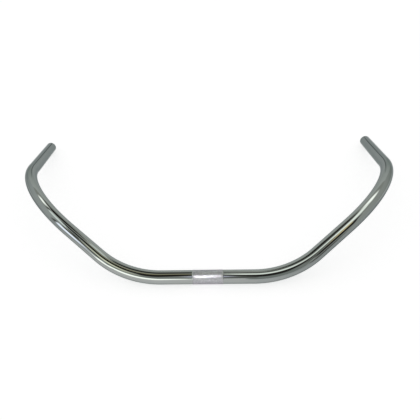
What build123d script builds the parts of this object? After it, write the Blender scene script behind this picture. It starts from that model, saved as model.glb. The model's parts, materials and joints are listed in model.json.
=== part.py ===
"""Cruiser handlebar: one bent steel tube with a knurled clamp band at its centre and open grip ends.

The origin is the middle of the clamp run, on the tube's centreline. +X runs along the clamp to the
rider's left, +Y back from the clamp to the grip ends, and +Z up. The bar lies as it rests on a flat
surface, on its clamp band and on the lower edges of its two tips. Lengths are in millimetres.
"""

import os
from math import atan2, cos, hypot

from build123d import *

# Tube
tube_diameter = 22.2
tube_wall = 1.6
end_chamfer = 0.4

# Centreline of the +X half: the corners where its straight runs would meet, and the bends there
knee_out = 130.0
knee_radius = 156.0
shoulder_out = 322.0
shoulder_back = 138.0
shoulder_up = 86.0
shoulder_radius = 226.0
tip_out = 366.0
tip_back = 452.0

# Knurled band that the stem clamps: the rolling raises it a little, and its ends slope back to the tube
knurl_length = 48.0
knurl_height = 0.2
knurl_run_out = 0.6

tube_radius = tube_diameter / 2
bore_radius = tube_radius - tube_wall
knurl_radius = tube_radius + knurl_height

# The tips come down until their lower edges are level with the underside of the clamp band.
grip_slope = atan2(shoulder_up, hypot(tip_out - shoulder_out, tip_back - shoulder_back))
tip_up = tube_radius * cos(grip_slope) - knurl_radius

clamp_centre = (0, 0, 0)
knee = (knee_out, 0, 0)
shoulder = (shoulder_out, shoulder_back, shoulder_up)
tip = (tip_out, tip_back, tip_up)

with BuildPart() as handlebar:
    # The +X half of the tube: its section at the clamp, swept out through the two bends to the tip
    with BuildLine():
        centreline = FilletPolyline(
            clamp_centre, knee, shoulder, tip, radius=[knee_radius, shoulder_radius]
        )
    with BuildSketch(Plane.YZ):
        Circle(tube_radius)
        Circle(bore_radius, mode=Mode.SUBTRACT)
    sweep()

    # Cut end, deburred outside and inside
    cut_end = handlebar.faces().sort_by(Axis.Y)[-1]
    chamfer(cut_end.edges(), end_chamfer)

    # The +X half of the knurled band: a ring about the clamp axis, rooted in the tube's wall
    band_root = tube_radius - tube_wall / 2
    band_end = knurl_length / 2
    with BuildSketch():
        with BuildLine():
            Polyline(
                (0, band_root),
                (band_end, band_root),
                (band_end, tube_radius),
                (band_end - knurl_run_out, knurl_radius),
                (0, knurl_radius),
                close=True,
            )
        make_face()
    revolve(axis=Axis.X)

    # The -X half is the +X half's mirror image, in one piece with it
    mirror(about=Plane.YZ)

handlebar.part.label = "handlebar"

os.makedirs("parts", exist_ok=True)
export_step(handlebar.part, "parts/handlebar.step")
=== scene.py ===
"""Chromed cruiser handlebar lying on a white studio floor.

Everything is in metres, in the part's own frame: the origin is the middle of the clamp run on the
tube's centreline, +X runs along the clamp to the rider's left, +Y back from the clamp to the grip
ends, and +Z up. The names of the studio's walls and cards say left and right as the camera sees
them, from the front of the bar: there +X is on the right.
"""

import json
import math
from typing import NamedTuple, Optional

import bpy
from mathutils import Matrix, Vector


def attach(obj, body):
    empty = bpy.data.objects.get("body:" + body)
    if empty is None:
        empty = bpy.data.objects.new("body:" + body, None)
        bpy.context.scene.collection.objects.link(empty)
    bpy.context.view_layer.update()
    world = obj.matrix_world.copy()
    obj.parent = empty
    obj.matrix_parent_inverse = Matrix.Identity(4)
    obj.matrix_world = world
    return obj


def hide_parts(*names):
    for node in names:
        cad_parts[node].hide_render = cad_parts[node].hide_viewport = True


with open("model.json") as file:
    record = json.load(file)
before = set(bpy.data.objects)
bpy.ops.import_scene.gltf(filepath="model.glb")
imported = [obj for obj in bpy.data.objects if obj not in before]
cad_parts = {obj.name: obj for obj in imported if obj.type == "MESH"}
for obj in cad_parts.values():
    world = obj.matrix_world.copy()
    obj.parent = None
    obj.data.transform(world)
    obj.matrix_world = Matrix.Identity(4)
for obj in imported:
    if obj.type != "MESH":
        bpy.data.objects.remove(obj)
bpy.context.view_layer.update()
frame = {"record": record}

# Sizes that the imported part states
MM = 0.001
mounts = {mount["name"]: mount for mount in frame["record"]["mounts"]}
clamp_band = mounts["stem_clamp"]["dims"]
grip_seat = mounts["left_grip_seat"]
tube_radius = grip_seat["dims"]["r_mm"] * MM
bore_radius = mounts["left_bar_end"]["dims"]["r_mm"] * MM
knurl_radius = clamp_band["r_mm"] * MM
knurl_flat = clamp_band["length_mm"] * MM

# The rest of the tube's shape, with the corners of the +X half's centreline
knurl_run_out = 0.0006
end_chamfer = 0.0004
knee_radius = 0.156
shoulder_radius = 0.226
along_clamp = Vector((1, 0, 0))
clamp_centre = Vector((0, 0, 0))
knee = Vector((0.130, 0, 0))
shoulder = Vector((0.322, 0.138, 0.086))
along_grip = Vector(grip_seat["axis"]).normalized()
grip_half = grip_seat["dims"]["length_mm"] * MM / 2
chamfer_start = Vector(grip_seat["pos_m"]) + along_grip * grip_half
tip = chamfer_start + along_grip * end_chamfer

# How finely the tube is meshed, and the angle in degrees from which its edges stay sharp
tube_columns = 144
bore_columns = tube_columns // 2
knee_steps = 44
shoulder_steps = 60
straight_step = 0.014
sharp_edge = 12

# Diamond knurl: diamonds round the band, mesh steps across each, depth of the grooves, share of a
# diamond's width that its slope takes, and how long a diamond is for its width
knurl_count = 48
knurl_cell_steps = 6
knurl_groove = 0.0002
knurl_slope = 0.22
diamond_aspect = math.sqrt(3)

height_attribute = "knurl_height"

PLATE, KNURL, BORE = range(3)


def arc_rows(before, corner, after, radius, steps):
    """Points and directions along the arc that rounds one corner of the centreline."""
    way_in = (corner - before).normalized()
    way_out = (after - corner).normalized()
    turn = way_in.angle(way_out)
    start = corner - way_in * radius * math.tan(turn / 2)
    inward = (way_out - way_in * way_in.dot(way_out)).normalized()
    rows = []
    for step in range(steps + 1):
        angle = turn * step / steps
        point = start + (way_in * math.sin(angle) + inward * (1 - math.cos(angle))) * radius
        rows.append((point, way_in * math.cos(angle) + inward * math.sin(angle)))
    return rows


def straight_rows(start, end):
    """Points and directions inside a straight run, without its ends."""
    count = max(1, round((end - start).length / straight_step))
    direction = (end - start).normalized()
    return [(start.lerp(end, step / count), direction) for step in range(1, count)]


def half_rows(first, last):
    """Centreline of the +X half, from a point on the clamp run to a point on the grip run."""
    knee_arc = arc_rows(clamp_centre, knee, shoulder, knee_radius, knee_steps)
    shoulder_arc = arc_rows(knee, shoulder, tip, shoulder_radius, shoulder_steps)
    return [
        (first, along_clamp),
        *straight_rows(first, knee_arc[0][0]),
        *knee_arc,
        *straight_rows(knee_arc[-1][0], shoulder_arc[0][0]),
        *shoulder_arc,
        *straight_rows(shoulder_arc[-1][0], last),
        (last, along_grip),
    ]


def mirrored(rows):
    """The same rows on the -X half, in the order that still runs towards +X."""
    return [
        (Vector((-point.x, point.y, point.z)), Vector((way.x, -way.y, -way.z)))
        for point, way in reversed(rows)
    ]


def ring(row, radii):
    """A ring of points round the centreline at one row, one for each radius in the list."""
    point, direction = row
    side = direction.cross(Vector((0, 0, 1))).normalized()
    up = side.cross(direction)
    turns = [math.tau * column / len(radii) for column in range(len(radii))]
    return [point + (side * math.cos(a) + up * math.sin(a)) * r for a, r in zip(turns, radii)]


def plain_ring(row, radius, columns=tube_columns):
    return ring(row, [radius] * columns)


def knurl_height(around, along):
    """Height of the knurl at a place measured in diamonds: 0 in the grooves, 1 on the flat tops."""
    nearest = min(abs(line - round(line)) for line in (around + along, around - along))
    return min(1.0, nearest / knurl_slope)


def knurl_rings():
    """Rings of the knurled band from its -X end to its +X end, each with the heights of its points."""
    diamond_length = math.tau * tube_radius / knurl_count * diamond_aspect
    steps = round(knurl_flat / diamond_length) * knurl_cell_steps
    rings = []
    for step in range(steps + 1):
        x = knurl_flat * (step / steps - 0.5)
        heights = [
            knurl_height(column / knurl_cell_steps, step / knurl_cell_steps)
            for column in range(knurl_count * knurl_cell_steps)
        ]
        radii = [knurl_radius - knurl_groove * (1 - height) for height in heights]
        rings.append((ring((Vector((x, 0, 0)), along_clamp), radii), heights))
    return rings


class RingSkin:
    """A closed skin of rings: each is joined to the next, and the last to the first."""

    def __init__(self):
        self.points = []
        self.heights = []
        self.faces = []
        self.finishes = []
        self.rings = []

    def add(self, points, finish, heights=None):
        """Adds a ring, joined to the one before it by faces of the given finish."""
        start = len(self.points)
        self.points.extend(points)
        self.heights.extend(heights or [1.0] * len(points))
        self.rings.append(range(start, start + len(points)))
        if len(self.rings) > 1:
            self.join(self.rings[-2], self.rings[-1], finish)

    def close(self, finish):
        self.join(self.rings[-1], self.rings[0], finish)

    def join(self, a, b, finish):
        before = len(self.faces)
        if len(a) == len(b):
            self.faces.extend((a[i - 1], b[i - 1], b[i], a[i]) for i in range(len(a)))
        elif len(a) < len(b):
            self.faces.extend(self.fan(a, b))
        else:
            self.faces.extend(face[::-1] for face in self.fan(b, a))
        self.finishes.extend([finish] * (len(self.faces) - before))

    @staticmethod
    def fan(coarse, fine):
        """Three triangles for each side of a ring that has half as many points as the other one."""
        faces = []
        for i in range(len(coarse)):
            near, far = coarse[i - 1], coarse[i]
            left, middle, right = fine[2 * i - 2], fine[2 * i - 1], fine[2 * i]
            faces += [(near, left, middle), (near, middle, far), (far, middle, right)]
        return faces


def bar_skin():
    """The outside of the tube from its -X tip to its +X tip, then the bore back to the -X tip."""
    band_end = Vector((knurl_flat / 2 + knurl_run_out, 0, 0))
    outside = half_rows(band_end, chamfer_start)
    bore_half = half_rows(clamp_centre, chamfer_start)
    bore = mirrored(bore_half)[:-1] + bore_half
    last_tip = (tip, along_grip)
    first_tip = mirrored([last_tip])[0]
    skin = RingSkin()
    skin.add(plain_ring(first_tip, tube_radius - end_chamfer), PLATE)
    for row in mirrored(outside):
        skin.add(plain_ring(row, tube_radius), PLATE)
    for index, (points, heights) in enumerate(knurl_rings()):
        # The faces up to the band's first ring are its run-out, which is plain
        skin.add(points, KNURL if index else PLATE, heights)
    for row in outside:
        skin.add(plain_ring(row, tube_radius), PLATE)
    skin.add(plain_ring(last_tip, tube_radius - end_chamfer), PLATE)
    skin.add(plain_ring(last_tip, bore_radius + end_chamfer, bore_columns), PLATE)
    for row in reversed(bore):
        skin.add(plain_ring(row, bore_radius, bore_columns), BORE)
    skin.add(plain_ring(first_tip, bore_radius + end_chamfer, bore_columns), PLATE)
    skin.close(PLATE)
    return skin


def build_bar():
    """One closed mesh of the tube: the outside from tip to tip, the cut ends and the bore."""
    skin = bar_skin()
    mesh = bpy.data.meshes.new("handlebar_tube")
    mesh.from_pydata(skin.points, [], skin.faces)
    mesh.polygons.foreach_set("use_smooth", [True] * len(mesh.polygons))
    mesh.polygons.foreach_set("material_index", skin.finishes)
    mesh.set_sharp_from_angle(angle=math.radians(sharp_edge))
    mesh.attributes.new(height_attribute, "FLOAT", "POINT").data.foreach_set("value", skin.heights)
    bar = bpy.data.objects.new("handlebar_tube", mesh)
    bpy.context.scene.collection.objects.link(bar)
    return bar


# Noise in the finishes: most of it lies between these two values, and it has this many finer layers
noise_low = 0.3
noise_high = 0.7
noise_detail = 4


def spread_of(tree, source, low, high):
    """Stretches the middle of a noise to run from one value to another."""
    spread = tree.nodes.new("ShaderNodeMapRange")
    spread.inputs["From Min"].default_value = noise_low
    spread.inputs["From Max"].default_value = noise_high
    spread.inputs["To Min"].default_value = low
    spread.inputs["To Max"].default_value = high
    tree.links.new(source, spread.inputs["Value"])
    return spread.outputs["Result"]


def metal(name, dull, bright, edge, roughness, cloud_scale, relief):
    """Metal whose colour and polish vary a little in clouds: from a dull place to a bright one, and
    from the least roughness to the greatest. Edge is how much it still reflects at a low angle, and
    relief the height of its faint waves."""
    material = bpy.data.materials.new(name)
    material.use_nodes = True
    tree = material.node_tree
    shader = tree.nodes["Principled BSDF"]
    shader.inputs["Metallic"].default_value = 1
    shader.inputs["Specular Tint"].default_value = (*edge, 1)
    place = tree.nodes.new("ShaderNodeTexCoord")
    cloud = tree.nodes.new("ShaderNodeTexNoise")
    cloud.inputs["Scale"].default_value = cloud_scale
    cloud.inputs["Detail"].default_value = noise_detail
    tree.links.new(place.outputs["Object"], cloud.inputs["Vector"])
    colour = tree.nodes.new("ShaderNodeValToRGB")
    colour.color_ramp.elements[0].position = noise_low
    colour.color_ramp.elements[0].color = (*dull, 1)
    colour.color_ramp.elements[1].position = noise_high
    colour.color_ramp.elements[1].color = (*bright, 1)
    tree.links.new(cloud.outputs["Fac"], colour.inputs["Fac"])
    tree.links.new(colour.outputs["Color"], shader.inputs["Base Color"])
    tree.links.new(spread_of(tree, cloud.outputs["Fac"], *roughness), shader.inputs["Roughness"])
    waves = tree.nodes.new("ShaderNodeBump")
    waves.inputs["Distance"].default_value = relief
    tree.links.new(cloud.outputs["Fac"], waves.inputs["Height"])
    tree.links.new(waves.outputs["Normal"], shader.inputs["Normal"])
    return material


def chrome_plate():
    return metal(
        "chrome_plate",
        dull=(0.35, 0.37, 0.36),
        bright=(0.37, 0.385, 0.375),
        edge=(0.37, 0.40, 0.40),
        roughness=(0.01, 0.03),
        cloud_scale=60,
        relief=0.00004,
    )


def knurled_chrome():
    """Rough chrome with painted shade in the knurl's grooves, where its colour goes darker."""
    material = metal(
        "knurled_chrome",
        dull=(0.42, 0.42, 0.45),
        bright=(0.62, 0.61, 0.65),
        edge=(0.25, 0.25, 0.25),
        roughness=(0.28, 0.38),
        cloud_scale=260,
        relief=0.00004,
    )
    # Painted shade: the colour given for the grooves is a dark shade, not the metal's own colour
    paint_groove_shade(material, groove=(0.24, 0.24, 0.25))
    return material


def bare_bore():
    return metal(
        "bare_bore",
        dull=(0.16, 0.15, 0.14),
        bright=(0.30, 0.28, 0.26),
        edge=(0.8, 0.8, 0.8),
        roughness=(0.4, 0.6),
        cloud_scale=120,
        relief=0.0001,
    )


def paint_groove_shade(material, groove):
    """Paints shade into the knurl's grooves: takes a finish down to a dark shade colour where the knurl
    is low.
    """
    tree = material.node_tree
    base = tree.nodes["Principled BSDF"].inputs["Base Color"]
    height = tree.nodes.new("ShaderNodeAttribute")
    height.attribute_name = height_attribute
    mix = tree.nodes.new("ShaderNodeMix")
    mix.data_type = "RGBA"
    sockets = {socket.identifier: socket for socket in mix.inputs}
    sockets["A_Color"].default_value = (*groove, 1)
    tree.links.new(base.links[0].from_socket, sockets["B_Color"])
    tree.links.new(height.outputs["Fac"], sockets["Factor_Float"])
    tree.links.new(next(socket for socket in mix.outputs if socket.identifier == "Result_Color"), base)


def dress(bar):
    """Gives the tube its finishes, in the order of PLATE, KNURL and BORE."""
    for finish in (chrome_plate, knurled_chrome, bare_bore):
        bar.data.materials.append(finish())


bar = build_bar()
dress(bar)
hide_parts("handlebar")
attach(bar, "root")


def background_rays(tree):
    """1 on rays from the camera, from metal and through glass, which all see the background, else 0."""
    light_path = tree.nodes.new("ShaderNodeLightPath")
    rays = ("Is Camera Ray", "Is Glossy Ray", "Is Transmission Ray")
    total = light_path.outputs[rays[0]]
    for ray in rays[1:]:
        larger = tree.nodes.new("ShaderNodeMath")
        larger.operation = "MAXIMUM"
        tree.links.new(total, larger.inputs[0])
        tree.links.new(light_path.outputs[ray], larger.inputs[1])
        total = larger.outputs[0]
    return total


def stage_plane(name, place, size, material):
    """A flat rectangle of the studio, with corners at plus and minus 1 in its own coordinates."""
    mesh = bpy.data.meshes.new(name)
    mesh.from_pydata([(-1, -1, 0), (1, -1, 0), (1, 1, 0), (-1, 1, 0)], [], [(0, 1, 2, 3)])
    mesh.materials.append(material)
    plane = bpy.data.objects.new(name, mesh)
    bpy.context.scene.collection.objects.link(plane)
    plane.matrix_world = place @ Matrix.Diagonal((size[0] / 2, size[1] / 2, 1, 1))
    return plane


def bare_material(name):
    """A new material with only its output node."""
    material = bpy.data.materials.new(name)
    material.use_nodes = True
    tree = material.node_tree
    tree.nodes.remove(tree.nodes["Principled BSDF"])
    return material, tree, tree.nodes["Material Output"].inputs["Surface"]


# The floor's white, a little over 1: the part of it that is light the bar can shade, and the top-up.
# The sky gives that light, and is white itself to the rays that see the background.
floor_size = (16, 16)
floor_albedo = 0.8
sky_light = 0.5
sky_white = 1
floor_white = 1.02
floor_top_up = floor_white - floor_albedo * sky_light


def floor_material():
    """Pale floor that takes the bar's shadow, topped up to white on the rays that see the background."""
    material, tree, surface = bare_material("studio_floor")
    diffuse = tree.nodes.new("ShaderNodeBsdfDiffuse")
    diffuse.inputs["Color"].default_value = (floor_albedo, floor_albedo, floor_albedo, 1)
    top_up = tree.nodes.new("ShaderNodeMath")
    top_up.operation = "MULTIPLY"
    top_up.inputs[1].default_value = floor_top_up
    tree.links.new(background_rays(tree), top_up.inputs[0])
    glow = tree.nodes.new("ShaderNodeEmission")
    tree.links.new(top_up.outputs[0], glow.inputs["Strength"])
    both = tree.nodes.new("ShaderNodeAddShader")
    tree.links.new(diffuse.outputs[0], both.inputs[0])
    tree.links.new(glow.outputs[0], both.inputs[1])
    tree.links.new(both.outputs[0], surface)
    return material


def make_sky():
    """White where it is seen, and a plain soft light everywhere else."""
    world = bpy.data.worlds.new("studio_sky")
    bpy.context.scene.world = world
    world.use_nodes = True
    tree = world.node_tree
    strength = tree.nodes.new("ShaderNodeMapRange")
    strength.inputs["To Min"].default_value = sky_light
    strength.inputs["To Max"].default_value = sky_white
    tree.links.new(background_rays(tree), strength.inputs["Value"])
    sky = tree.nodes["Background"]
    sky.inputs["Color"].default_value = (1, 1, 1, 1)
    tree.links.new(strength.outputs["Result"], sky.inputs["Strength"])


# The knurl's spot, with its cone in degrees, and the board a little further out than the spot
spot_place = Vector((0, -0.95, 1.02))
spot_radius = 0.02
spot_cone = 2.8
spot_blend = 0.3
spot_watts = 26
board_factor = 1.1
board_place = spot_place * board_factor


def make_knurl_spot():
    """A narrow spot, behind and above the camera, that lights only the knurl."""
    data = bpy.data.lights.new("knurl_spot", "SPOT")
    data.energy = spot_watts
    data.shadow_soft_size = spot_radius
    data.spot_size = math.radians(spot_cone)
    data.spot_blend = spot_blend
    lamp = bpy.data.objects.new("knurl_spot", data)
    bpy.context.scene.collection.objects.link(lamp)
    lamp.location = spot_place
    lamp.rotation_euler = (clamp_centre - spot_place).to_track_quat("-Z", "Y").to_euler()
    lamp.visible_diffuse = False


class Wall(NamedTuple):
    """A flat place for cards: its middle, its two directions and how bright it is, or None where
    nothing shows but its cards."""
    middle: Vector
    across: Vector
    up: Vector
    colour: Optional[tuple]


class Card(NamedTuple):
    """A soft-edged rectangle on a wall: its middle, size and turn in degrees there, its brightness,
    and the share of its half width over which its edge fades."""
    name: str
    wall: str
    middle: tuple
    size: tuple
    turn: float
    colour: tuple
    softness: float


# The studio that the chrome reflects: five walls round the bar and its floor, and between them the
# board behind the spot and a hanger under the ceiling
X, Y, Z = Matrix.Identity(3)
floor_height = -knurl_radius
hanger_height = 1.4
ceiling_height = 2.0
side_distance = 2.0
front_distance = 2.0
rear_distance = 2.4
wall_size = (6, 6)
card_gap = 0.002
WALLS = {
    "floor": Wall(Z * floor_height, X, Y, None),
    "board": Wall(board_place, X, X.cross(board_place).normalized(), None),
    "hanger": Wall(Z * hanger_height, X, Y, None),
    "ceiling": Wall(Z * ceiling_height, X, Y, (0.50, 0.52, 0.48)),
    "front": Wall(Y * -front_distance, X, Z, (0.38, 0.41, 0.39)),
    "rear": Wall(Y * rear_distance, X, Z, (0.76, 0.80, 0.77)),
    "left": Wall(X * -side_distance, Y, Z, (0.66, 0.70, 0.69)),
    "right": Wall(X * side_distance, Y, Z, (0.57, 0.60, 0.57)),
}

BLACK = (0.03, 0.03, 0.025)
DIM = (0.17, 0.17, 0.16)
SLATE = (0.33, 0.35, 0.35)
OLIVE = (0.55, 0.5, 0.28)
GREY = (0.6, 0.63, 0.64)
CREAM = (0.8, 0.8, 0.65)
WHITE = (1.0, 1.0, 1.0)
LILAC = (1.1, 1.1, 1.4)
TAN = (1.4, 1.15, 0.65)
PALE = (1.4, 1.5, 1.45)
SAND = (1.6, 1.6, 1.2)
LIT = (1.9, 2.0, 1.85)
COOL = (2.2, 2.3, 2.6)
BRIGHT = (2.6, 2.65, 2.5)

# How much of a card's half width its edge fades over
CRISP, SOFT, FAINT = 0.3, 0.5, 0.8

# On each wall, later cards lie in front of earlier ones
CARDS = [
    Card("front left pale", "ceiling", (-1.2, -1.3), (1.2, 1.3), 0, SAND, FAINT),
    Card("left pale", "ceiling", (-1.3, -0.1), (1.4, 1.4), 30, PALE, SOFT),
    Card("left soft box", "ceiling", (-1.3, 1.2), (1.1, 1.1), 15, BRIGHT, FAINT),
    Card("left soft box flag", "ceiling", (-1.3, 0.6), (0.9, 0.3), 15, BLACK, FAINT),
    Card("right soft box", "ceiling", (1.0, 1.1), (1.7, 1.3), -15, BRIGHT, FAINT),
    Card("right fill", "ceiling", (0.8, 0.2), (1.0, 1.3), -15, LIT, CRISP),
    Card("right tan strip", "ceiling", (1.2, -0.7), (1.5, 0.4), -45, TAN, FAINT),
    Card("strip light", "ceiling", (0.3, -0.4), (0.4, 1.2), 15, LIT, SOFT),
    Card("left dark strip", "ceiling", (-1.4, -0.9), (1.6, 0.2), 45, BLACK, FAINT),
    Card("overhead flag", "ceiling", (-0.3, 1.0), (1.0, 1.2), -15, BLACK, CRISP),
    Card("overhead left flag", "ceiling", (-0.6, 1.5), (0.4, 0.9), 15, BLACK, SOFT),
    Card("left flag", "ceiling", (-0.6, -0.4), (0.6, 1.5), 0, BLACK, CRISP),
    Card("olive card", "ceiling", (-0.2, -0.1), (0.3, 0.7), 0, OLIVE, SOFT),
    Card("front left flag", "ceiling", (-0.3, -0.9), (0.5, 1.8), -15, BLACK, CRISP),
    Card("front right flag", "ceiling", (0.6, -1.3), (1.3, 2.0), 15, BLACK, SOFT),
    Card("overhead card", "ceiling", (0.1, 0.6), (0.2, 0.8), -30, PALE, FAINT),
    Card("right flag", "ceiling", (1.7, -1.1), (0.9, 1.6), 0, BLACK, CRISP),
    Card("window", "front", (-1.1, 0.4), (2.4, 1.2), -15, BRIGHT, CRISP),
    Card("front left cream", "front", (-1.1, 1.8), (0.9, 0.8), 0, CREAM, SOFT),
    Card("front top flag", "front", (0.7, 1.8), (1.3, 0.7), 0, BLACK, SOFT),
    Card("front middle flag", "front", (0.2, 1.3), (0.4, 0.9), 0, DIM, SOFT),
    Card("window edge", "front", (0.1, 0.2), (0.3, 0.8), 0, WHITE, CRISP),
    Card("window return", "left", (-1.7, 0.3), (1.1, 1.4), 30, BRIGHT, CRISP),
    Card("left top flag", "left", (-1.4, 1.7), (1.2, 1.0), 0, BLACK, SOFT),
    Card("left strip light", "left", (-0.9, 0.7), (0.8, 1.3), 15, COOL, SOFT),
    Card("left strip flag", "left", (-0.5, 0.8), (0.3, 2.0), 15, DIM, FAINT),
    Card("right top flag", "right", (-1.3, 1.7), (1.2, 1.4), -15, BLACK, SOFT),
    Card("right low flag", "right", (-1.4, 0.3), (1.0, 1.3), 15, DIM, SOFT),
    Card("rear low card", "rear", (0.0, 0.1), (3.0, 0.8), 0, WHITE, SOFT),
    Card("rear left seam", "rear", (-0.7, 0.3), (0.3, 1.8), 15, SLATE, FAINT),
    Card("rear right seam", "rear", (0.6, 0.3), (0.3, 1.8), -15, SLATE, FAINT),
    Card("hanging flag", "hanger", (0.2, 0.5), (0.2, 0.8), -30, BLACK, SOFT),
    Card("knurl glow", "board", (0.0, 0.0), (0.3, 0.8), 0, LILAC, FAINT),
    # Painted shade: these grey cards on the floor are seen only in the metal, which shows a grey floor
    # there although the floor itself is white
    Card("left floor shade card", "floor", (-0.9, -0.1), (1.5, 1.2), 0, GREY, SOFT),
    Card("right floor shade card", "floor", (0.9, -0.4), (1.9, 1.5), 0, GREY, CRISP),
]


def wall_material(name, colour):
    """Even light all over."""
    material, tree, surface = bare_material(name)
    glow = tree.nodes.new("ShaderNodeEmission")
    glow.inputs["Color"].default_value = (*colour, 1)
    tree.links.new(glow.outputs[0], surface)
    return material


def card_material(name, colour, softness):
    """Even light that fades out towards the edge of a rounded rectangle, x^4 + y^4 = 1."""
    material, tree, surface = bare_material(name)
    place = tree.nodes.new("ShaderNodeTexCoord")
    squares = tree.nodes.new("ShaderNodeVectorMath")
    squares.operation = "MULTIPLY"
    tree.links.new(place.outputs["Object"], squares.inputs[0])
    tree.links.new(place.outputs["Object"], squares.inputs[1])
    length = tree.nodes.new("ShaderNodeVectorMath")
    length.operation = "LENGTH"
    tree.links.new(squares.outputs[0], length.inputs[0])
    from_middle = tree.nodes.new("ShaderNodeMath")
    from_middle.operation = "SQRT"
    tree.links.new(length.outputs["Value"], from_middle.inputs[0])
    fade = tree.nodes.new("ShaderNodeMapRange")
    fade.interpolation_type = "SMOOTHSTEP"
    fade.inputs["From Min"].default_value = 1
    fade.inputs["From Max"].default_value = 1 - softness
    tree.links.new(from_middle.outputs[0], fade.inputs["Value"])
    clear = tree.nodes.new("ShaderNodeBsdfTransparent")
    glow = tree.nodes.new("ShaderNodeEmission")
    glow.inputs["Color"].default_value = (*colour, 1)
    mix = tree.nodes.new("ShaderNodeMixShader")
    tree.links.new(fade.outputs["Result"], mix.inputs[0])
    tree.links.new(clear.outputs[0], mix.inputs[1])
    tree.links.new(glow.outputs[0], mix.inputs[2])
    tree.links.new(mix.outputs[0], surface)
    return material


def on_wall(wall, middle=(0, 0), turn=0, layer=0):
    """Where a plane goes on a wall, each layer a little further into the studio."""
    place = wall.middle + wall.across * middle[0] + wall.up * middle[1]
    place -= wall.middle.normalized() * layer * card_gap
    axes = Matrix((wall.across, wall.up, wall.across.cross(wall.up))).transposed().to_4x4()
    return Matrix.Translation(place) @ axes @ Matrix.Rotation(math.radians(turn), 4, "Z")


def only_in_reflections(plane):
    plane.visible_camera = False
    plane.visible_diffuse = False
    plane.visible_transmission = False
    plane.visible_shadow = False


def make_studio():
    """The floor, the walls and their cards."""
    stage_plane("studio_floor", on_wall(WALLS["floor"]), floor_size, floor_material())
    for name, wall in WALLS.items():
        if wall.colour is None:
            continue
        title = name + "_wall"
        material = wall_material(title, wall.colour)
        only_in_reflections(stage_plane(title, on_wall(wall), wall_size, material))
    for name, wall in WALLS.items():
        cards = [card for card in CARDS if card.wall == name]
        for layer, card in enumerate(cards, start=1):
            title = card.name.replace(" ", "_")
            place = on_wall(wall, card.middle, card.turn, layer)
            material = card_material(title, card.colour, card.softness)
            only_in_reflections(stage_plane(title, place, card.size, material))


make_sky()
make_studio()
make_knurl_spot()

# Camera: the photograph's view, with its focal length and centre in pixels of the frame
camera_place = Vector((0.0021, -0.5552, 0.5153))
camera_forward = Vector((-0.0415, 0.8195, -0.5716)).normalized()
camera_side = Vector((0.9990, 0.0251, -0.0365))
camera_sensor_mm = 36
frame_pixels = 420
focal_pixels = 480
centre_column = 188


def make_camera():
    up = camera_side.cross(camera_forward).normalized()
    right = camera_forward.cross(up)
    data = bpy.data.cameras.new("camera")
    data.sensor_width = camera_sensor_mm
    data.lens = camera_sensor_mm * focal_pixels / frame_pixels
    data.shift_x = 0.5 - centre_column / frame_pixels
    camera = bpy.data.objects.new("camera", data)
    bpy.context.scene.collection.objects.link(camera)
    axes = Matrix((right, up, -camera_forward)).transposed().to_4x4()
    camera.matrix_world = Matrix.Translation(camera_place) @ axes
    bpy.context.scene.camera = camera


make_camera()
bpy.context.scene.view_settings.view_transform = "Standard"
